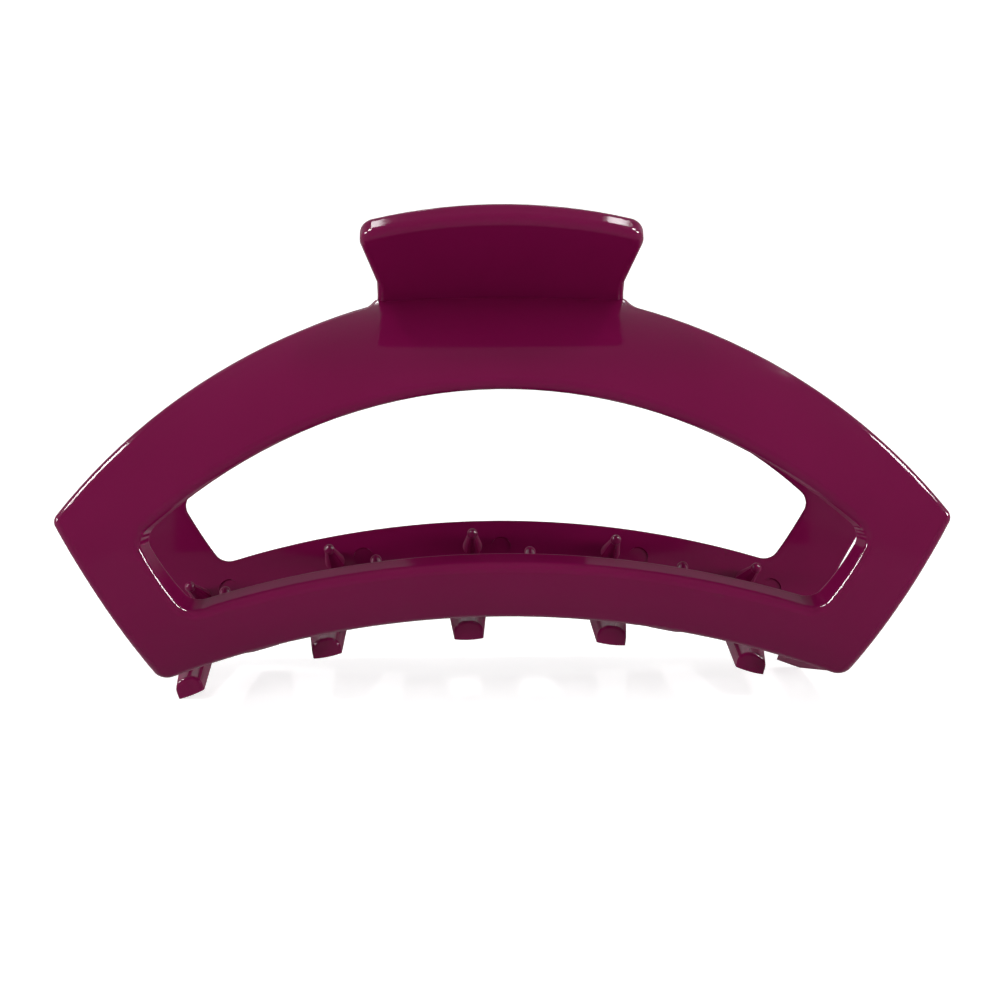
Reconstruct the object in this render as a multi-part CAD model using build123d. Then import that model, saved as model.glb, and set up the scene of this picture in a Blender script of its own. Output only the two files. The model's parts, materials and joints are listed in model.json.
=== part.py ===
from build123d import *
import os
from itertools import combinations
from math import acos, asin, atan2, cos, degrees, hypot, pi, radians, sin, sqrt, tan

# Large open-frame claw clip for hair: two identical jaws, a hinge pin and a torsion spring.
#
# X runs along the hinge, Y from the front jaw to the rear jaw and Z up from the surface that
# the clip stands on. Lengths are in millimetres. A jaw is drawn once, as the rear jaw, with
# the hinge axis through the origin. "Out" is the distance from the mid-plane towards its
# outer face. The front jaw is the same moulding turned half a turn about Z.

# Frame of a jaw
clip_width = 130.6
wall = 3.8
edge_round = 1.2
inner_edge_round = 0.4
tip_round = 1.5
corner_round = 2.4

# Side profile of the frame: an arc that bulges out between the fold and the lower edge
fold_out = 7.9
fold_rise = 1.9
lower_edge_out = 19.5
lower_edge_drop = 45.5
dome_bulge = 12.5

# Front outline of the frame, as drops below the hinge axis
arch_radius = 141.3
tip_drop = 29.9
shoulder_slope = 14.0
side_lean = 31.0
neck_width = 37.2
neck_drop = 0.2
neck_round = 3.0

# Window in the frame, where it meets the widest place of the dome
window_head_drop = 11.3
window_sill_drop = 37.5
window_sill_margin = 18.5
window_side_length = 14.2
window_side_lean = 27.3
window_round = 2.6
window_side_draft = 17.0
window_sill_draft = 23.0

# Thumb tab
tab_lean = 48.0
tab_length = 17.0
tab_neck_length = 2.4
tab_flare = 2.8
tab_crown_radius = 60.0
tab_corner_round = 2.6
tab_edge_round = 1.3
knuckle_step = 0.2

# Teeth, from one end of the lower bar, with the middle one turned off mid-width
tooth_count = 5
tooth_end_margin = 1.9
tooth_middle_angle = -2.1
tooth_tip_width = 4.4
tooth_root_width = 8.0
tooth_thickness = 2.8
tooth_reach = 12.0
tooth_drop = 4.1
tooth_slope = 9.5
tooth_bend = 4.0
tooth_inset = 1.3
tooth_grip = 3.4
tooth_nose_bulge = 0.5
tooth_nose_round = 0.5
tooth_top_round = 1.9

# Pegs above the teeth, and the ejector marks beside them
peg_end_margin = 3.9
peg_middle_angle = -1.6
peg_angle = -30.4
peg_tilt = 22.0
peg_length = 8.0
peg_base_diameter = 3.2
peg_tip_diameter = 1.4
peg_ball_diameter = 1.7
ejector_diameter = 3.2
ejector_depth = 0.25
ejector_gap = 4.7

# Hinge
pin_diameter = 2.2
pin_overhang = 0.3
pin_chamfer = 0.3
pin_clearance = 0.05
pin_grip = 0.02
ear_width = 3.3
ear_gap = 0.4
ear_inner_face = 7.0
ear_eye_diameter = 6.4
ear_web_angle = 18.0
toe_angle = 8.0
toe_thickness = 2.4
stop_clearance = 0.15

# Torsion spring
wire_diameter = 1.2
coil_diameter = 4.6
coil_gap = 0.55
coil_full_turns = 4
coil_arcs = 20
leg_length = 13.0
leg_gap = 0.3
sample_spacing = 0.25

cut_overrun = 10.0


# Points and directions of the side profile

arch_drop = lower_edge_drop + arch_radius
arch_axis = Axis((0, 0, -arch_drop), (0, 1, 0))
fold = Vector(fold_out, fold_rise)
lower_edge = Vector(lower_edge_out, -lower_edge_drop)
chord = fold - lower_edge
chord_outward = Vector(chord.Y, -chord.X).normalized()
dome_radius = (chord.length**2 / 4 + dome_bulge**2) / (2 * dome_bulge)
dome_centre = (fold + lower_edge) / 2 - chord_outward * (dome_radius - dome_bulge)
inner_dome_radius = dome_radius - wall
fold_angle = degrees(atan2(fold.Y - dome_centre.Y, fold.X - dome_centre.X))
lower_angle = degrees(atan2(lower_edge.Y - dome_centre.Y, lower_edge.X - dome_centre.X))
side_offset = clip_width / 2 * cos(radians(side_lean)) - (arch_drop - tip_drop) * sin(radians(side_lean))
corner_angle = side_lean + degrees(asin(side_offset / arch_radius))
outer_ear_face = ear_inner_face + ear_width + ear_gap
hinge_half_width = outer_ear_face + ear_width
eye_radius = ear_eye_diameter / 2
coil_spacing = wire_diameter + coil_gap


def polar(distance, angle):
    """Vector of this length at an angle in degrees."""
    return Vector(distance * cos(radians(angle)), distance * sin(radians(angle)))


def on_profile(distance, angle):
    """Point of the side profile: out, height above the hinge axis."""
    return dome_centre + polar(distance, angle)


tab_along = polar(1, 90 - tab_lean)
tab_inward = polar(1, 180 - tab_lean)
wall_inward = polar(1, fold_angle + 180)
fold_inward = (wall_inward + tab_inward).normalized()


def arch_fall(height, half_width):
    """How far a line of the arch at this height has fallen, this far from mid-width."""
    radius = arch_drop + height
    return radius - sqrt(radius**2 - half_width**2)


def about_arch(shape, angle):
    """Turn a shape about the centre of the arch, positive towards +X."""
    return shape.rotate(arch_axis, angle)


# Frame

def shell_section():
    """Wall of the frame cut at mid-width, from the lower edge up to the fold."""
    top_angle = fold_angle + degrees(wall / 2 / dome_radius)
    outer = CenterArc(dome_centre, dome_radius, lower_angle, top_angle - lower_angle)
    inner = CenterArc(dome_centre, inner_dome_radius, lower_angle, fold_angle - lower_angle)
    lower_end = Line(outer @ 0, inner @ 0)
    upper_end = Line(outer @ 1, inner @ 1)
    return Plane.YZ * make_face([outer, inner, lower_end, upper_end])


def front_outline():
    """Outer outline of the frame and the neck of the tab, seen along Y."""
    tip = Vector(clip_width / 2, -tip_drop)
    neck_height = fold.Y - arch_fall(fold.Y, neck_width / 2) - neck_drop
    neck = Vector(neck_width / 2, neck_height)
    neck_top = Vector(neck_width / 2, dome_centre.Y + dome_radius + wall)
    foot_drop = arch_drop - tip_drop - arch_radius + dome_radius
    foot = tip - Vector(foot_drop * sin(radians(side_lean)) / cos(radians(side_lean)), foot_drop)
    shoulder = Edge.make_tangent_arc(neck, polar(1, -shoulder_slope), tip)
    upper = Polyline((0, neck_top.Y), neck_top, neck)
    lower = Polyline(tip, foot, (0, foot.Y))
    half = [*upper.edges(), shoulder, *lower.edges()]
    outline = make_face(half + [edge.mirror(Plane.YZ) for edge in half])
    necks = outline.vertices().filter_by(lambda v: abs(v.Y - neck.Y) < wall / 100)
    outline = fillet(necks, neck_round)
    tips = outline.vertices().filter_by(lambda v: abs(v.Y - tip.Y) < wall / 100)
    return fillet(tips, tip_round)


def window_outline(depth):
    """Opening of the frame, seen along Y, at this depth behind the widest place of the dome."""
    inset = Vector(depth * tan(radians(window_side_draft)), 0)
    outer_half = clip_width / 2 - window_sill_margin
    outer_height = -window_sill_drop - arch_fall(-window_sill_drop, outer_half)
    top = Vector(outer_half, outer_height) - inset + polar(window_side_length, 90 - window_side_lean)
    middle_height = depth * tan(radians(window_sill_draft)) - window_sill_drop
    sill_half = outer_half - inset.X
    sill = Vector(sill_half, middle_height - arch_fall(middle_height, sill_half))
    other_top = Vector(-top.X, top.Y)
    other_sill = Vector(-sill.X, sill.Y)
    head_arc = ThreePointArc(other_top, (0, -window_head_drop), top)
    sill_arc = ThreePointArc(other_sill, (0, middle_height), sill)
    outline = make_face([head_arc, sill_arc, Line(top, sill), Line(other_top, other_sill)])
    return fillet(outline.vertices(), window_round)


def window_tool():
    """Cutter for the opening. Its sides and sill draw in towards the inside of the jaw."""
    outlines = []
    for depth in (-wall / 10, 3 * wall):
        plane = Plane((0, dome_centre.X + dome_radius - depth, 0), x_dir=(1, 0, 0), z_dir=(0, -1, 0))
        outlines.append(plane * window_outline(depth))
    return loft(outlines, ruled=True)


def at_foot_corner(edge):
    """True for the two edges where the slanted sides meet the lower edge."""
    return edge.center().Z < -lower_edge_drop - wall and edge.length < 2 * wall


def rim_edges(body, place):
    """Edges round the inner (0) or outer (-1) face of the frame, without those under the tab."""
    faces = body.faces().filter_by(GeomType.TORUS).sort_by(SortBy.AREA)[-2:]
    face = faces.sort_by(Axis.Y)[place]
    return face.edges().filter_by(lambda e: abs(e.center().X) > wall or e.center().Z < -wall)


def frame():
    """Arched open frame with rounded edges."""
    span = degrees(asin((clip_width / 2 + cut_overrun) / arch_radius))
    shell = revolve(shell_section(), arch_axis, revolution_arc=2 * span)
    shell = about_arch(shell, -span)
    front = Plane((0, 0, 0), x_dir=(1, 0, 0), z_dir=(0, -1, 0)) * front_outline()
    body = shell & extrude(front, -2 * dome_radius)
    foot_corners = body.edges().filter_by(at_foot_corner)
    body = fillet(foot_corners, corner_round) - window_tool()
    body = fillet(rim_edges(body, -1), edge_round)
    return fillet(rim_edges(body, 0), inner_edge_round)


# Thumb tab

def tab_outline():
    """Tab seen square to its face: a straight neck, flared sides and a crowned end."""
    root = Vector(neck_width / 2, 0)
    neck = Vector(root.X, tab_neck_length)
    tip_half = neck.X + tab_flare
    sagitta = tab_crown_radius - sqrt(tab_crown_radius**2 - tip_half**2)
    corner = Vector(tip_half, tab_length - sagitta)
    half = Polyline(root, neck, corner)
    crown = ThreePointArc(corner, (0, tab_length), (-corner.X, corner.Y))
    foot = Line(root, (-root.X, root.Y))
    outline = make_face([*half.edges(), *mirror(half, Plane.YZ).edges(), crown, foot])
    corners = outline.vertices().filter_by(lambda v: abs(v.Y - corner.Y) < wall / 100)
    return fillet(corners, tab_corner_round)


def knuckle():
    """Bar along the fold, rounded on the inside, a little thicker than the wall under it."""
    below = fold - tab_along * wall / 2
    lower_end = fold + wall_inward * (wall + knuckle_step)
    tab_inner = fold + tab_inward * wall
    arc = ThreePointArc(lower_end, fold + fold_inward * (wall + knuckle_step / 2), tab_inner)
    rest = Polyline(tab_inner, fold, below, lower_end)
    section = make_face([*arc.edges(), *rest.edges()])
    return extrude(Plane.YZ * section, neck_width / 2, both=True)


def largest_flat(body, plane, height):
    """Largest flat face of a body at this height over a plane."""
    flats = body.faces().filter_by(GeomType.PLANE)
    level = flats.filter_by(lambda f: abs(plane.to_local_coords(f.center()).Z - height) < wall / 100)
    return level.sort_by(SortBy.AREA)[-1]


def tab():
    """Thumb tab above the fold, with the knuckle that joins it to the frame."""
    plane = Plane((0, fold.X, fold.Y), x_dir=(1, 0, 0), z_dir=(0, tab_inward.X, tab_inward.Y))
    body = extrude(plane * tab_outline(), wall) + knuckle()
    rims = []
    for height in (0, wall):
        edges = largest_flat(body, plane, height).edges()
        rims += edges.filter_by(lambda e: abs(e.center().X) > wall)
        rims += edges.filter_by(GeomType.CIRCLE).filter_by(lambda e: e.length > tab_length)
    return fillet(rims, tab_edge_round)


# Teeth

def tooth_section():
    """Tooth at mid-width: it follows the wall down, then reaches in past the mid-plane."""
    root = on_profile(dome_radius - tooth_inset, lower_angle)
    down = polar(1, lower_angle - 90)
    along = polar(1, tooth_slope)
    wall_inward = polar(1, lower_angle + 180)
    upward = polar(1, tooth_slope + 90)
    tip = Vector(-tooth_reach, -lower_edge_drop - tooth_drop)
    gap = tip - root
    bend = root + down * ((gap.X * along.Y - gap.Y * along.X) / (down.X * along.Y - down.Y * along.X))
    inner_bend = bend + (wall_inward + upward) * (tooth_thickness / (1 + wall_inward.dot(upward)))
    start = root - down * tooth_grip
    inner_start = start + wall_inward * tooth_thickness
    inner_tip = tip + upward * tooth_thickness
    section = make_face(Polyline(start, bend, tip, inner_tip, inner_bend, inner_start, close=True))
    near_bend = section.vertices().filter_by(lambda v: (Vector(v) - bend).length < wall / 100)
    section = fillet(near_bend, tooth_bend)
    near_inner = section.vertices().filter_by(lambda v: (Vector(v) - inner_bend).length < wall / 100)
    return fillet(near_inner, tooth_bend - tooth_thickness)


def tooth_plan(room):
    """Tapered outline of a tooth seen from above, with a bulging nose, cut where its room ends."""
    root_out = on_profile(dome_radius - tooth_inset, lower_angle).X
    spread = (tooth_root_width - tooth_tip_width) / 2 / (root_out + tooth_reach)
    far = root_out + wall
    tip = Vector(tooth_tip_width / 2, tooth_nose_bulge - tooth_reach)
    base = Vector(tip.X + spread * (far + tooth_reach), far)
    nose = ThreePointArc(tip, (0, -tooth_reach), (-tip.X, tip.Y))
    plan = make_face([nose, *Polyline(tip, base, (-base.X, base.Y), (-tip.X, tip.Y)).edges()])
    return plan & Pos(-room, 0, 0) * Rectangle(clip_width, 4 * dome_radius, align=(Align.MIN, Align.CENTER))


def tooth(room):
    """Tooth with a domed top and a rim round its nose. Its underside keeps sharp edges."""
    solid = extrude(Plane.YZ * tooth_section(), tooth_root_width, both=True)
    column = extrude(Pos(0, 0, -lower_edge_drop - tooth_drop - wall) * tooth_plan(room), lower_edge_drop)
    body = solid & column
    upper = body.faces().filter_by(GeomType.PLANE).sort_by(lambda f: f.area * f.normal_at().Z)[-1]
    body = fillet(upper.edges().filter_by(lambda e: abs(e.center().X) > wall / 10), tooth_top_round)
    nose = body.faces().filter_by(GeomType.CYLINDER).sort_by(Axis.Y)[0]
    below_nose = nose.edges().sort_by(Axis.Z)[0]
    over_nose = [edge for edge in nose.edges() if edge.center().Z > below_nose.center().Z + tooth_nose_round]
    return fillet(over_nose, tooth_nose_round)


def spread_angles(end_margin, middle_angle):
    """Angles about the centre of the arch, from one end of the lower bar past its middle."""
    first = degrees(end_margin / arch_radius) - corner_angle
    step = 2 * (middle_angle - first) / (tooth_count - 1)
    return [first + step * k for k in range(tooth_count)]


def teeth():
    """Teeth along the lower bar. The outermost one is cut flush with the end of the bar."""
    placed = []
    for angle in spread_angles(tooth_end_margin, tooth_middle_angle):
        room = arch_radius * radians(corner_angle + angle)
        placed.append(about_arch(tooth(room), angle))
    return placed


# Pegs and ejector marks on the lower bar

def peg():
    """Tapered peg with a ball end, on the inner wall at mid-width."""
    base = on_profile(inner_dome_radius, peg_angle)
    tilt = radians(peg_tilt)
    axis = Plane((0, base.X, base.Y), x_dir=(1, 0, 0), z_dir=(0, -cos(tilt), sin(tilt)))
    cone = Cone(peg_base_diameter / 2, peg_tip_diameter / 2, peg_length, align=ON_BASE)
    root = Cylinder(peg_base_diameter / 2, wall / 2, align=UNDER_TOP)
    return axis * (cone + root + Pos(0, 0, peg_length) * Sphere(peg_ball_diameter / 2))


def ejector_mark():
    """Cutter for the shallow disc that an ejector leaves on the inner wall."""
    centre = on_profile(inner_dome_radius + ejector_depth, peg_angle)
    inward = polar(1, peg_angle + 180)
    plane = Plane((0, centre.X, centre.Y), x_dir=(1, 0, 0), z_dir=(0, inward.X, inward.Y))
    return plane * Cylinder(ejector_diameter / 2, wall / 2, align=ON_BASE)


ON_BASE = (Align.CENTER, Align.CENTER, Align.MIN)
UNDER_TOP = (Align.CENTER, Align.CENTER, Align.MAX)


# Hinge ears

def tangent_point(point, side):
    """Where a line from this point touches the eye of an ear, on one side of it."""
    turn = degrees(acos(eye_radius / hypot(point.X, point.Y)))
    return polar(eye_radius, degrees(atan2(point.Y, point.X)) + side * turn)


def ear_web():
    """Web between the eye and the wall next to the fold."""
    top = fold + tab_inward * wall / 2
    middle = fold + fold_inward * wall / 2
    foot = on_profile(dome_radius - wall / 2, fold_angle - ear_web_angle)
    points = [tangent_point(top, 1), top, middle, foot, tangent_point(foot, -1)]
    return make_face(Polyline(*points, close=True))


def ear_toe():
    """Toe that meets the inner wall of the other jaw and stops the closed clip."""
    stop_radius = inner_dome_radius - stop_clearance - arch_fall(0, hinge_half_width)
    top = on_profile(stop_radius, fold_angle)
    end = on_profile(stop_radius, fold_angle - toe_angle)
    foot = on_profile(stop_radius - toe_thickness, fold_angle - toe_angle)
    points = [Vector(-p.X, p.Y) for p in (top, end, foot)]
    under = tangent_point(points[-1], 1)
    return make_face(Polyline(polar(eye_radius, 180), *points, under, close=True))


def ears():
    """Inner ear on the left and outer ear on the right, so that two jaws interleave."""
    section = Circle(eye_radius) + ear_web() + ear_toe()
    section -= Circle(pin_diameter / 2 + pin_clearance)
    ear = extrude(Plane.YZ * section, ear_width)
    return [Pos(-ear_inner_face - ear_width, 0, 0) * ear, Pos(outer_ear_face, 0, 0) * ear]


def jaw():
    """One moulded jaw: frame, tab, teeth, pegs and hinge ears."""
    mark_turn = degrees(ejector_gap / (arch_drop + on_profile(inner_dome_radius, peg_angle).Y))
    peg_angles = spread_angles(peg_end_margin, peg_middle_angle)
    body = frame() + tab()
    body += teeth()
    body += [about_arch(peg(), angle) for angle in peg_angles]
    body += ears()
    return body - [about_arch(ejector_mark(), angle + mark_turn) for angle in peg_angles]


# Hinge pin

def hinge_pin():
    """Steel pin, held by a wider band in the outer ear of the front jaw."""
    half_length = hinge_half_width + pin_overhang
    pin = extrude(Plane.YZ * Circle(pin_diameter / 2), half_length, both=True)
    pin = chamfer(pin.edges().filter_by(GeomType.CIRCLE), pin_chamfer)
    band = Plane.YZ * Circle(pin_diameter / 2 + pin_clearance + pin_grip)
    return pin + Pos(-hinge_half_width, 0, 0) * extrude(band, ear_width)


# Torsion spring

def leg_lean():
    """Lean of a spring leg: its end lies one gap away from the inside of the tab."""
    coil_radius = coil_diameter / 2
    tab_offset = tab_inward.dot(fold) + wall
    end_offset = tab_offset + leg_gap + wire_diameter / 2
    reach = hypot(coil_radius, leg_length)
    return tab_lean + degrees(acos(end_offset / reach) - atan2(leg_length, coil_radius))


def coil_point(turn, share):
    """Centre of the wire, this many degrees and this share of the way along the coil."""
    around = polar(coil_diameter / 2, leg_lean() - turn)
    return Vector(coil_length() * (share - 1 / 2), around.X, around.Y)


def coil_turn():
    """Angle that the coil turns through between its two legs."""
    return 360 * coil_full_turns + 180 + 2 * leg_lean()


def coil_length():
    """Length of the coil along the hinge."""
    return coil_spacing * coil_turn() / 360


def coil_direction(turn, rise):
    """Direction of the wire on the coil; rise is how far it moves along X in each degree."""
    around = polar(coil_diameter / 2 * pi / 180, leg_lean() - turn - 90)
    return Vector(rise, around.X, around.Y).normalized()


def two_arcs(start, start_way, end, end_way):
    """Two arcs that leave along one direction and arrive along another."""
    gap = end - start
    both = start_way + end_way
    a = 2 * (start_way.dot(end_way) - 1)
    b = -2 * gap.dot(both)
    reach = (-b - sqrt(b**2 - 4 * a * gap.dot(gap))) / (2 * a)
    first_corner = start + start_way * reach
    last_corner = end - end_way * reach
    middle = (first_corner + last_corner) / 2
    first = Edge.make_tangent_arc(start, start_way, middle)
    second = Edge.make_tangent_arc(middle, (last_corner - first_corner).normalized(), end)
    return [first, second]


def spring_path():
    """Centre line of the wire: front leg, coil and rear leg."""
    points = []
    ways = []
    for k in range(coil_arcs + 1):
        share = k / coil_arcs
        rise = 0 if k in (0, coil_arcs) else coil_spacing / 360
        points.append(coil_point(coil_turn() * share, share))
        ways.append(coil_direction(coil_turn() * share, rise))
    front_end = points[0] - ways[0] * leg_length
    rear_end = points[-1] + ways[-1] * leg_length
    edges = [Edge.make_line(front_end, points[0])]
    for k in range(coil_arcs):
        edges += two_arcs(points[k], ways[k], points[k + 1], ways[k + 1])
    edges.append(Edge.make_line(points[-1], rear_end))
    return Wire(edges)


def torsion_spring():
    """Round wire swept along the centre line."""
    path = spring_path()
    start = Plane(path @ 0, z_dir=path % 0)
    return sweep(start * Circle(wire_diameter / 2), path=path)


def least_gap():
    """Least gap of the wire to itself, measured between points of its centre line."""
    path = spring_path()
    count = round(path.length / sample_spacing)
    points = [path @ (k / count) for k in range(count + 1)]
    apart = 2 * wire_diameter / sample_spacing
    pairs = combinations(range(count + 1), 2)
    gaps = [(points[i] - points[j]).length for i, j in pairs if j - i > apart]
    return min(gaps) - wire_diameter


# Assembly

def main():
    """Write the four parts, standing on the plane Z = 0."""
    rear = jaw()
    hinge_height = -rear.bounding_box().min.Z
    parts = {
        "front_jaw": rear.rotate(Axis.Z, 180),
        "rear_jaw": rear,
        "hinge_pin": hinge_pin(),
        "torsion_spring": torsion_spring(),
    }
    os.makedirs("parts", exist_ok=True)
    for name, shape in parts.items():
        placed = Pos(0, 0, hinge_height) * shape
        export_step(placed, f"parts/{name}.step")
        size = placed.bounding_box().size
        print(f"{name}: {size.X:.2f} x {size.Y:.2f} x {size.Z:.2f} mm, {placed.volume:.1f} mm3")
    print(f"hinge axis at Y = 0, Z = {hinge_height:.3f} mm")
    print(f"least gap of the spring to itself: {least_gap():.3f} mm")


if __name__ == "__main__":
    main()
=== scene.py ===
import json

import bpy
from math import cos, pi, radians, sin
from mathutils import Matrix, Vector


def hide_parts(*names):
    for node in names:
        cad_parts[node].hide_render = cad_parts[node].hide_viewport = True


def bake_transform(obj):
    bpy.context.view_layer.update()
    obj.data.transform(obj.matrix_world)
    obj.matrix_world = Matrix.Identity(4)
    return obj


bl_info = {
    "name": "Claw Clip Dresser",
    "version": (1, 0, 0),
    "blender": (4, 5, 0),
    "location": "3D View > Sidebar > Claw Clip",
    "description": "Dresses the jaws, pin and spring of a hair claw clip and sets its studio",
    "category": "Object",
}

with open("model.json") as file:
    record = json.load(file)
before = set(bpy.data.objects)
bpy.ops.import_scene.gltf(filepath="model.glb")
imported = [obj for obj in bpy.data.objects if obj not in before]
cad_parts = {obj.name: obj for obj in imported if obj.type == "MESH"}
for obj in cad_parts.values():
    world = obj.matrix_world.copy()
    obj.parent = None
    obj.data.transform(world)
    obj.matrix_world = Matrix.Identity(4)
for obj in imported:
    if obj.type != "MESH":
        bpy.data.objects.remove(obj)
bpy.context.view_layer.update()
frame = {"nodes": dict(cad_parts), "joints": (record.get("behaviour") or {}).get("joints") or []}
hinge = frame["joints"][0]
hinge_centre = Vector(hinge["pos_m"])

MM = 0.001
IMAGE_SIDE = 990
WHITE = (1.0, 1.0, 1.0, 1.0)

# Fineness of the wire's mesh and of the bend in the backdrop

WIRE_POINTS = 420
WIRE_SIDES = 20
SWEEP_STEPS = 16

# Lamps on the right, each with a twin on the left. The soft box lights the faces and isn't mirrored.
# The edge and window lights only draw thin lines in the gloss, along the arch and the window's ends.
# The lip and neck lights draw short marks on the corners of the tab.

LAMP_AIM = (0.0, 0.0, 0.04)
LAMPS = {
    "soft_box": {"place": (0.82, -0.40, 0.14), "size": (0.5, 0.3), "power": 4.5, "mirrored": False},
    "lip_light": {"place": (0.40, 0.03, 0.84), "size": (0.10, 0.05), "power": 1.2},
    "edge_light": {"place": (0.63, -0.22, 0.67), "size": (0.24, 0.24), "power": 30.0, "lights": False},
    "window_light": {"place": (0.82, -0.11, 0.34), "size": (0.20, 0.20), "power": 22.0, "lights": False},
    "neck_light": {"place": (0.12, 0.65, 0.65), "size": (0.05, 0.05), "power": 0.3},
}


# Small helpers for node trees

def add_node(tree, kind, settings=None, inputs=None):
    """New node with its settings and the values of its unlinked inputs."""
    node = tree.nodes.new(kind)
    for name, value in (settings or {}).items():
        setattr(node, name, value)
    for name, value in (inputs or {}).items():
        node.inputs[name].default_value = value
    return node


def feed(tree, node, values):
    """Set or link the inputs of a node in their order, and return its first output."""
    for socket, value in zip(node.inputs, values):
        if isinstance(value, (int, float)):
            socket.default_value = value
        else:
            tree.links.new(value, socket)
    return node.outputs[0]


def plug(tree, node, sources):
    """Link sources to the named inputs of a node."""
    for name, source in sources.items():
        tree.links.new(source, node.inputs[name])


def chain(tree, nodes):
    """Link the first output of each node to the first input of the next."""
    for node, following in zip(nodes, nodes[1:]):
        tree.links.new(node.outputs[0], following.inputs[0])


def calculate(tree, operation, *values):
    """Result of a math node."""
    return feed(tree, add_node(tree, "ShaderNodeMath", {"operation": operation}), values)


def remap(tree, source, span, out):
    """Value moved from one range to another."""
    return feed(tree, add_node(tree, "ShaderNodeMapRange"), (source, *span, *out))


def noise(tree, coordinates, scale, detail, roughness):
    """Noise of a given scale on object coordinates."""
    values = {"Scale": scale, "Detail": detail, "Roughness": roughness}
    node = add_node(tree, "ShaderNodeTexNoise", inputs=values)
    tree.links.new(coordinates, node.inputs["Vector"])
    return node.outputs["Fac"]


def blended_colour(tree, first, second, factor):
    """Colour that goes from the first to the second as the factor goes from 0 to 1."""
    node = add_node(tree, "ShaderNodeMix", {"data_type": "RGBA"})
    node.inputs["A"].default_value = (*first, 1.0)
    node.inputs["B"].default_value = (*second, 1.0)
    tree.links.new(factor, node.inputs["Factor"])
    return node.outputs["Result"]


def relief(tree, height, strength, distance):
    """Normal with a small relief."""
    node = add_node(tree, "ShaderNodeBump", inputs={"Strength": strength, "Distance": distance})
    tree.links.new(height, node.inputs["Height"])
    return node.outputs["Normal"]


def surface(tree, shader, output="ShaderNodeOutputMaterial"):
    """Send a shader to the output of its tree."""
    chain(tree, (shader, add_node(tree, output)))


def new_material(name):
    """Empty node material and its tree."""
    material = bpy.data.materials.new(name)
    material.use_nodes = True
    material.node_tree.nodes.clear()
    return material, material.node_tree


def put_on_node(name, material):
    """Give a CAD node this material in every slot."""
    for slot in frame["nodes"][name].material_slots:
        slot.material = material


# Finishes

def moulded_plastic(settings):
    """Through-dyed plastic with a faint ripple, a slightly uneven shine and duller grazing edges."""
    material, tree = new_material("moulded_plastic")
    coordinates = add_node(tree, "ShaderNodeTexCoord").outputs["Object"]
    tint = noise(tree, coordinates, scale=45.0, detail=3.0, roughness=0.5)
    drift = remap(tree, tint, span=(0.3, 0.6), out=(0.0, 1.0))
    colour = blended_colour(tree, settings.plastic_deep, settings.plastic_colour, drift)
    haze = noise(tree, coordinates, scale=130.0, detail=2.0, roughness=0.6)
    uneven = remap(tree, haze, span=(0.3, 0.7), out=(0.07, 0.11))
    facing = add_node(tree, "ShaderNodeLayerWeight").outputs["Facing"]
    grazing = remap(tree, facing, span=(0.62, 0.9), out=(0.0, 0.7))
    roughness = calculate(tree, "ADD", uneven, grazing)
    ripple = noise(tree, coordinates, scale=260.0, detail=1.0, roughness=0.4)
    normal = relief(tree, ripple, strength=0.02, distance=0.1 * MM)
    shader = add_node(tree, "ShaderNodeBsdfPrincipled", inputs={"IOR": 1.5, "Specular IOR Level": 0.07})
    plug(tree, shader, {"Base Color": colour, "Roughness": roughness, "Normal": normal})
    surface(tree, shader)
    return material


def drawn_steel(name, colour, smoothest, stretch):
    """Steel with fine marks drawn out along the wire or pin."""
    material, tree = new_material(name)
    coordinates = add_node(tree, "ShaderNodeTexCoord").outputs["Object"]
    mapping = add_node(tree, "ShaderNodeMapping", inputs={"Scale": stretch})
    tree.links.new(coordinates, mapping.inputs["Vector"])
    marks = noise(tree, mapping.outputs["Vector"], scale=900.0, detail=3.0, roughness=0.7)
    bright = remap(tree, marks, span=(0.35, 0.65), out=(0.0, 1.0))
    darker = [0.8 * part for part in colour]
    shade = blended_colour(tree, darker, colour, bright)
    roughness = remap(tree, marks, span=(0.3, 0.7), out=(smoothest, smoothest + 0.12))
    normal = relief(tree, marks, strength=0.15, distance=0.02 * MM)
    shader = add_node(tree, "ShaderNodeBsdfPrincipled", inputs={"Metallic": 1.0})
    plug(tree, shader, {"Base Color": shade, "Roughness": roughness, "Normal": normal})
    surface(tree, shader)
    return material


# Sizes and colours that a user may change

class ClipFinish(bpy.types.PropertyGroup):
    """Colours of the clip."""

    plastic_colour: bpy.props.FloatVectorProperty(
        name="Plastic", description="Main colour of the moulded jaws",
        default=(0.152, 0.0034, 0.048), size=3, min=0.0, max=1.0, subtype="COLOR",
    )
    plastic_deep: bpy.props.FloatVectorProperty(
        name="Plastic, deep", description="Darker colour that the plastic drifts to",
        default=(0.142, 0.0029, 0.044), size=3, min=0.0, max=1.0, subtype="COLOR",
    )
    steel_colour: bpy.props.FloatVectorProperty(
        name="Steel", description="Colour of the hinge pin and the spring wire",
        default=(0.58, 0.58, 0.59), size=3, min=0.0, max=1.0, subtype="COLOR",
    )


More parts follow.
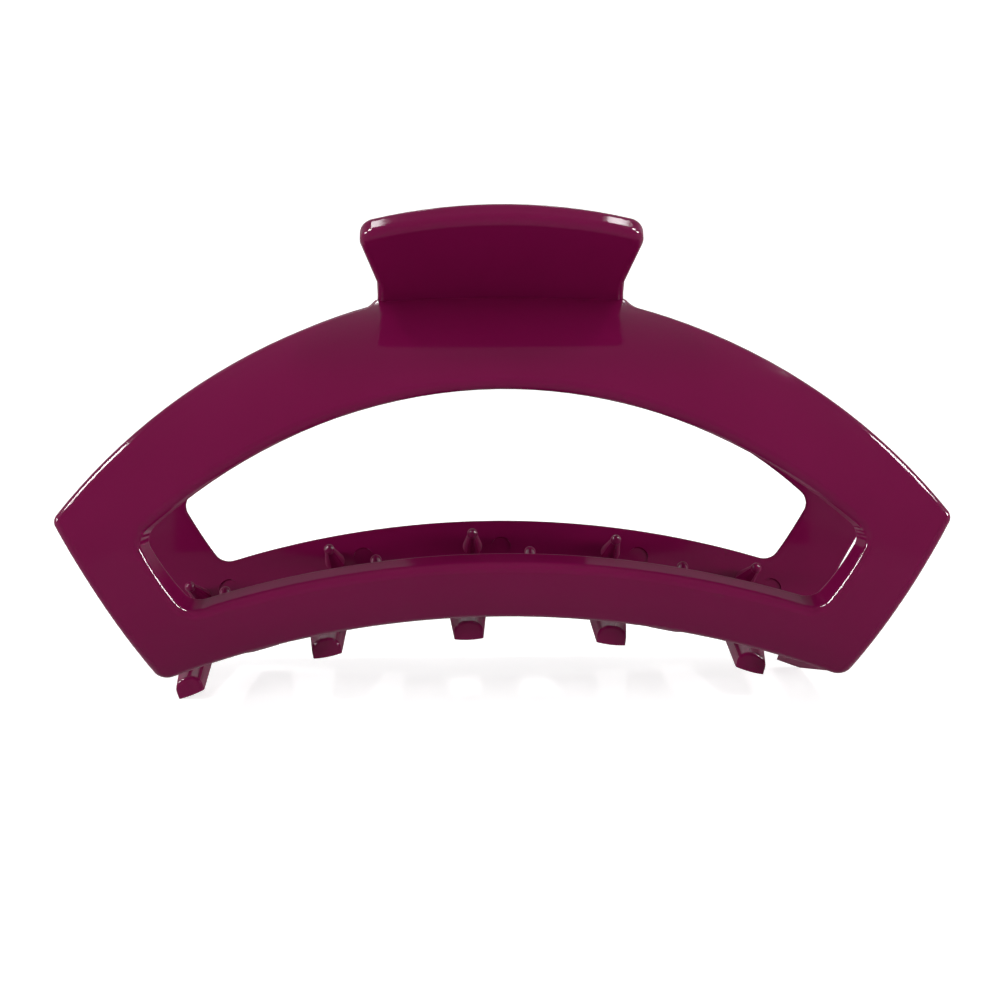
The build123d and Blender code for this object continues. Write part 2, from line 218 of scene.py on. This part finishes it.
class SpringSizes(bpy.types.PropertyGroup):
    """Sizes of the torsion spring."""

    wire_diameter: bpy.props.FloatProperty(
        name="Wire", description="Diameter of the spring wire",
        default=1.2 * MM, min=0.4 * MM, max=2.0 * MM, subtype="DISTANCE", unit="LENGTH",
    )
    coil_diameter: bpy.props.FloatProperty(
        name="Coil", description="Diameter of the coil at the middle of the wire",
        default=4.6 * MM, min=3.6 * MM, max=8.0 * MM, subtype="DISTANCE", unit="LENGTH",
    )
    coil_pitch: bpy.props.FloatProperty(
        name="Pitch", description="Distance from one turn to the next",
        default=1.75 * MM, min=1.3 * MM, max=3.0 * MM, subtype="DISTANCE", unit="LENGTH",
    )
    full_turns: bpy.props.IntProperty(
        name="Full turns", description="Whole turns besides the part turn between the legs",
        default=4, min=2, max=8,
    )
    leg_length: bpy.props.FloatProperty(
        name="Leg", description="Length of each straight leg",
        default=13.0 * MM, min=6.0 * MM, max=20.0 * MM, subtype="DISTANCE", unit="LENGTH",
    )
    leg_lean: bpy.props.FloatProperty(
        name="Leg lean", description="Lean of each leg away from upright",
        default=radians(54.43), min=radians(40), max=radians(70), subtype="ANGLE",
    )


class StudioSizes(bpy.types.PropertyGroup):
    """Camera and even light of the studio."""

    eye: bpy.props.FloatVectorProperty(
        name="Eye", description="Place of the camera, measured from the middle of the hinge",
        default=(-8.0 * MM, -345.6 * MM, 6.0 * MM), size=3, subtype="XYZ", unit="LENGTH",
    )
    yaw: bpy.props.FloatProperty(
        name="Yaw", description="Turn of the camera towards +X",
        default=radians(1.196), subtype="ANGLE",
    )
    pitch: bpy.props.FloatProperty(
        name="Pitch", description="Dip of the camera below level",
        default=radians(5.762), subtype="ANGLE",
    )
    roll: bpy.props.FloatProperty(
        name="Roll", description="Roll of the camera",
        default=radians(-0.166), subtype="ANGLE",
    )
    focal_pixels: bpy.props.FloatProperty(
        name="Focal length", description="Focal length in pixels of the square image",
        default=2231.1, min=500.0, max=6000.0,
    )
    world_fill: bpy.props.FloatProperty(
        name="Fill", description="Strength of the even light from all round",
        default=0.45, min=0.0, max=3.0,
    )
    world_gloss: bpy.props.FloatProperty(
        name="Fill in reflections", description="Strength of the surroundings seen in the gloss",
        default=0.95, min=0.0, max=3.0,
    )


# Spring: one wire that runs down the front leg, round the coil and up the rear leg

def wire_point(tree, sizes):
    """Place on the wire for each share of its whole length."""

    def math(operation, *values):
        return calculate(tree, operation, *values)

    def vector(*parts):
        return feed(tree, add_node(tree, "ShaderNodeCombineXYZ"), parts)

    def add_vectors(first, second):
        return feed(tree, add_node(tree, "ShaderNodeVectorMath", {"operation": "ADD"}), (first, second))

    round_length = math("MULTIPLY", sizes["Coil Radius"], 2 * pi)
    turn_squared = math("ADD", math("POWER", round_length, 2), math("POWER", sizes["Pitch"], 2))
    turn_length = math("SQRT", turn_squared)
    coil_length = math("MULTIPLY", turn_length, sizes["Turns"])
    whole = math("ADD", coil_length, math("MULTIPLY", sizes["Leg Length"], 2))
    share = add_node(tree, "GeometryNodeSplineParameter").outputs["Factor"]
    along = math("SUBTRACT", math("MULTIPLY", share, whole), sizes["Leg Length"])

    on_coil = math("MINIMUM", math("MAXIMUM", along, 0.0), coil_length)
    turned = math("DIVIDE", on_coil, turn_length)
    angle = math("SUBTRACT", sizes["Leg Angle"], math("MULTIPLY", turned, 2 * pi))
    from_middle = math("SUBTRACT", turned, math("MULTIPLY", sizes["Turns"], 0.5))
    coil_point = vector(
        math("MULTIPLY", from_middle, sizes["Pitch"]),
        math("MULTIPLY", math("COSINE", angle), sizes["Coil Radius"]),
        math("MULTIPLY", math("SINE", angle), sizes["Coil Radius"]),
    )

    before = math("MINIMUM", along, 0.0)
    after = math("MAXIMUM", math("SUBTRACT", along, coil_length), 0.0)
    outward = math("MULTIPLY", math("SINE", sizes["Leg Angle"]), math("ADD", before, after))
    upward = math("MULTIPLY", math("COSINE", sizes["Leg Angle"]), math("SUBTRACT", after, before))
    leg_offset = vector(0.0, outward, upward)
    return add_vectors(add_vectors(coil_point, leg_offset), sizes["Centre"])


def wire_tree(material):
    """Node tree of the wire, with named inputs for its sizes."""
    tree = bpy.data.node_groups.new("wound_wire", "GeometryNodeTree")
    interface = tree.interface
    for name in ("Wire Radius", "Coil Radius", "Pitch", "Turns", "Leg Length", "Leg Angle"):
        interface.new_socket(name, in_out="INPUT", socket_type="NodeSocketFloat")
    interface.new_socket("Centre", in_out="INPUT", socket_type="NodeSocketVector")
    interface.new_socket("Geometry", in_out="OUTPUT", socket_type="NodeSocketGeometry")
    sizes = add_node(tree, "NodeGroupInput").outputs

    line = add_node(tree, "GeometryNodeCurvePrimitiveLine")
    resample = add_node(tree, "GeometryNodeResampleCurve", inputs={"Count": WIRE_POINTS})
    place = add_node(tree, "GeometryNodeSetPosition")
    profile = add_node(tree, "GeometryNodeCurvePrimitiveCircle", inputs={"Resolution": WIRE_SIDES})
    skin = add_node(tree, "GeometryNodeCurveToMesh", inputs={"Fill Caps": True})
    smooth = add_node(tree, "GeometryNodeSetShadeSmooth")
    real = add_node(tree, "GeometryNodeRealizeInstances")
    paint = add_node(tree, "GeometryNodeSetMaterial", inputs={"Material": material})
    output = add_node(tree, "NodeGroupOutput")
    chain(tree, (line, resample, place, skin, smooth, real, paint, output))
    plug(tree, place, {"Position": wire_point(tree, sizes)})
    plug(tree, profile, {"Radius": sizes["Wire Radius"]})
    plug(tree, skin, {"Profile Curve": profile.outputs["Curve"]})
    return tree


def mesh_from_tree(name, tree, values):
    """Run a node tree on an empty mesh and keep the result as a plain mesh object."""
    piece = bpy.data.objects.new(name, bpy.data.meshes.new(name))
    bpy.context.scene.collection.objects.link(piece)
    modifier = piece.modifiers.new("shape", "NODES")
    modifier.node_group = tree
    for socket in tree.interface.items_tree:
        if socket.in_out == "INPUT":
            modifier[socket.identifier] = values[socket.name]
    graph = bpy.context.evaluated_depsgraph_get()
    shaped = bpy.data.meshes.new_from_object(piece.evaluated_get(graph))
    piece.modifiers.remove(modifier)
    piece.data = shaped
    piece.data.name = name
    return piece


# Studio

def white_sweep():
    """Floor and backdrop in one sweep, white to the eye and in reflections, with soft shadows."""
    material, tree = new_material("white_sweep")
    path = add_node(tree, "ShaderNodeLightPath").outputs
    seen = calculate(tree, "MAXIMUM", path["Is Camera Ray"], path["Is Glossy Ray"])
    seen_or_through = calculate(tree, "MAXIMUM", seen, path["Is Transmission Ray"])
    glow = add_node(tree, "ShaderNodeEmission", inputs={"Color": WHITE})
    plug(tree, glow, {"Strength": calculate(tree, "MULTIPLY", seen_or_through, 0.78)})
    matt = add_node(tree, "ShaderNodeBsdfDiffuse", inputs={"Color": (0.6, 0.6, 0.6, 1.0)})
    both = add_node(tree, "ShaderNodeAddShader")
    feed(tree, both, (glow.outputs["Emission"], matt.outputs["BSDF"]))
    surface(tree, both)
    return material


def sweep_mesh(half_width, near, far, rise, bend):
    """Sheet that lies flat, bends up behind the object and stands."""
    line = [(near, 0.0), (far - bend, 0.0)]
    for k in range(1, SWEEP_STEPS + 1):
        angle = pi / 2 * k / SWEEP_STEPS
        line.append((far - bend + bend * sin(angle), bend - bend * cos(angle)))
    line.append((far, rise))
    vertices = [(x, y, z) for y, z in line for x in (-half_width, half_width)]
    faces = [(2 * k, 2 * k + 1, 2 * k + 3, 2 * k + 2) for k in range(len(line) - 1)]
    mesh = bpy.data.meshes.new("studio_sweep")
    mesh.from_pydata(vertices, [], faces)
    mesh.shade_smooth()
    return mesh


def studio_world(settings):
    """Even white surroundings, dimmer as a light than the camera and the gloss see them."""
    world = bpy.data.worlds.new("studio_world")
    world.use_nodes = True
    tree = world.node_tree
    tree.nodes.clear()
    path = add_node(tree, "ShaderNodeLightPath").outputs
    seen = calculate(tree, "MAXIMUM", path["Is Camera Ray"], path["Is Transmission Ray"])
    unseen_levels = (settings.world_fill, settings.world_gloss)
    unseen = remap(tree, path["Is Glossy Ray"], span=(0.0, 1.0), out=unseen_levels)
    strength = remap(tree, seen, span=(0.0, 1.0), out=(unseen, 1.0))
    background = add_node(tree, "ShaderNodeBackground", inputs={"Color": WHITE})
    plug(tree, background, {"Strength": strength})
    surface(tree, background, "ShaderNodeOutputWorld")
    bpy.context.scene.world = world


def area_light(name, place, size, power, mirrored=True, lights=True):
    """Rectangular lamp that shines from a place at the clip. It can be mirrored in the gloss or not,
    and a lamp that doesn't light is seen in the gloss alone."""
    lamp = bpy.data.lights.new(name, "AREA")
    lamp.shape = "RECTANGLE"
    lamp.size, lamp.size_y = size
    lamp.energy = power
    light = bpy.data.objects.new(name, lamp)
    light.location = place
    direction = Vector(LAMP_AIM) - Vector(place)
    light.rotation_euler = direction.to_track_quat("-Z", "Y").to_euler()
    light.visible_camera = False
    light.visible_glossy = mirrored
    light.visible_diffuse = lights
    bpy.context.scene.collection.objects.link(light)


def studio_lights():
    """Every lamp on both sides of the clip."""
    for side in (-1, 1):
        for name, lamp in LAMPS.items():
            x, y, z = lamp["place"]
            area_light(name, **{**lamp, "place": (side * x, y, z)})


def studio_camera(settings):
    """Camera at the angle of the photograph."""
    lens = bpy.data.cameras.new("studio_camera")
    lens.sensor_width = 36.0
    lens.lens = settings.focal_pixels * lens.sensor_width / IMAGE_SIDE
    lens.clip_start = 10 * MM
    lens.clip_end = 20.0
    camera = bpy.data.objects.new("studio_camera", lens)
    turn = Matrix.Rotation(-settings.yaw, 4, "Z")
    dip = Matrix.Rotation(pi / 2 - settings.pitch, 4, "X")
    roll = Matrix.Rotation(settings.roll, 4, "Z")
    camera.matrix_world = Matrix.Translation(hinge_centre + settings.eye) @ turn @ dip @ roll
    bpy.context.scene.collection.objects.link(camera)
    bpy.context.scene.camera = camera


# Operators

class CLIP_OT_jaws(bpy.types.Operator):
    """Give both jaws their moulded plastic"""

    bl_idname = "clip.dress_jaws"
    bl_label = "Dress Jaws"

    def execute(self, context):
        plastic = moulded_plastic(context.scene.clip_finish)
        for name in ("front_jaw", "rear_jaw"):
            put_on_node(name, plastic)
        return {"FINISHED"}


class CLIP_OT_pin(bpy.types.Operator):
    """Give the hinge pin its steel"""

    bl_idname = "clip.dress_pin"
    bl_label = "Dress Pin"

    def execute(self, context):
        colour = context.scene.clip_finish.steel_colour
        steel = drawn_steel("pin_steel", colour, smoothest=0.28, stretch=(0.08, 1.0, 1.0))
        put_on_node("hinge_pin", steel)
        return {"FINISHED"}


class CLIP_OT_spring(bpy.types.Operator):
    """Wind the torsion spring round the pin"""

    bl_idname = "clip.wind_spring"
    bl_label = "Wind Spring"

    def execute(self, context):
        sizes = context.scene.clip_spring
        colour = context.scene.clip_finish.steel_colour
        steel = drawn_steel("spring_steel", colour, smoothest=0.2, stretch=(0.3, 1.0, 1.0))
        turns = sizes.full_turns + (pi + 2 * sizes.leg_lean) / (2 * pi)
        values = {
            "Wire Radius": sizes.wire_diameter / 2,
            "Coil Radius": sizes.coil_diameter / 2,
            "Pitch": sizes.coil_pitch,
            "Turns": turns,
            "Leg Length": sizes.leg_length,
            "Leg Angle": sizes.leg_lean,
            "Centre": hinge_centre,
        }
        spring = mesh_from_tree("wound_spring", wire_tree(steel), values)
        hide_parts("torsion_spring")
        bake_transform(spring)
        return {"FINISHED"}


class CLIP_OT_studio(bpy.types.Operator):
    """Set the white sweep, the lights and the camera"""

    bl_idname = "clip.set_studio"
    bl_label = "Set Studio"

    def execute(self, context):
        settings = context.scene.clip_studio
        sheet = sweep_mesh(half_width=2.5, near=-2.5, far=1.6, rise=2.5, bend=0.8)
        sweep = bpy.data.objects.new("studio_sweep", sheet)
        context.scene.collection.objects.link(sweep)
        sweep.data.materials.append(white_sweep())
        studio_world(settings)
        studio_lights()
        studio_camera(settings)
        context.scene.view_settings.view_transform = "Standard"
        return {"FINISHED"}


class CLIP_PT_panel(bpy.types.Panel):
    """Buttons and sizes of the claw clip"""

    bl_label = "Claw Clip"
    bl_idname = "CLIP_PT_panel"
    bl_space_type = "VIEW_3D"
    bl_region_type = "UI"
    bl_category = "Claw Clip"

    def draw(self, context):
        groups = (context.scene.clip_finish, context.scene.clip_spring, context.scene.clip_studio)
        for group in groups:
            box = self.layout.box()
            for name in group.__annotations__:
                box.prop(group, name)
        for operator in OPERATORS:
            self.layout.operator(operator.bl_idname)


GROUPS = {"clip_finish": ClipFinish, "clip_spring": SpringSizes, "clip_studio": StudioSizes}
OPERATORS = (CLIP_OT_jaws, CLIP_OT_pin, CLIP_OT_spring, CLIP_OT_studio)


def register():
    """Register the property groups, the operators and the panel."""
    for name, group in GROUPS.items():
        bpy.utils.register_class(group)
        setattr(bpy.types.Scene, name, bpy.props.PointerProperty(type=group))
    for operator in OPERATORS:
        bpy.utils.register_class(operator)
    bpy.utils.register_class(CLIP_PT_panel)


def unregister():
    """Undo all that register does."""
    bpy.utils.unregister_class(CLIP_PT_panel)
    for operator in reversed(OPERATORS):
        bpy.utils.unregister_class(operator)
    for name, group in GROUPS.items():
        delattr(bpy.types.Scene, name)
        bpy.utils.unregister_class(group)


def main():
    """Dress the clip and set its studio."""
    register()
    bpy.ops.clip.dress_jaws()
    bpy.ops.clip.dress_pin()
    bpy.ops.clip.wind_spring()
    bpy.ops.clip.set_studio()


if __name__ == "__main__":
    main()
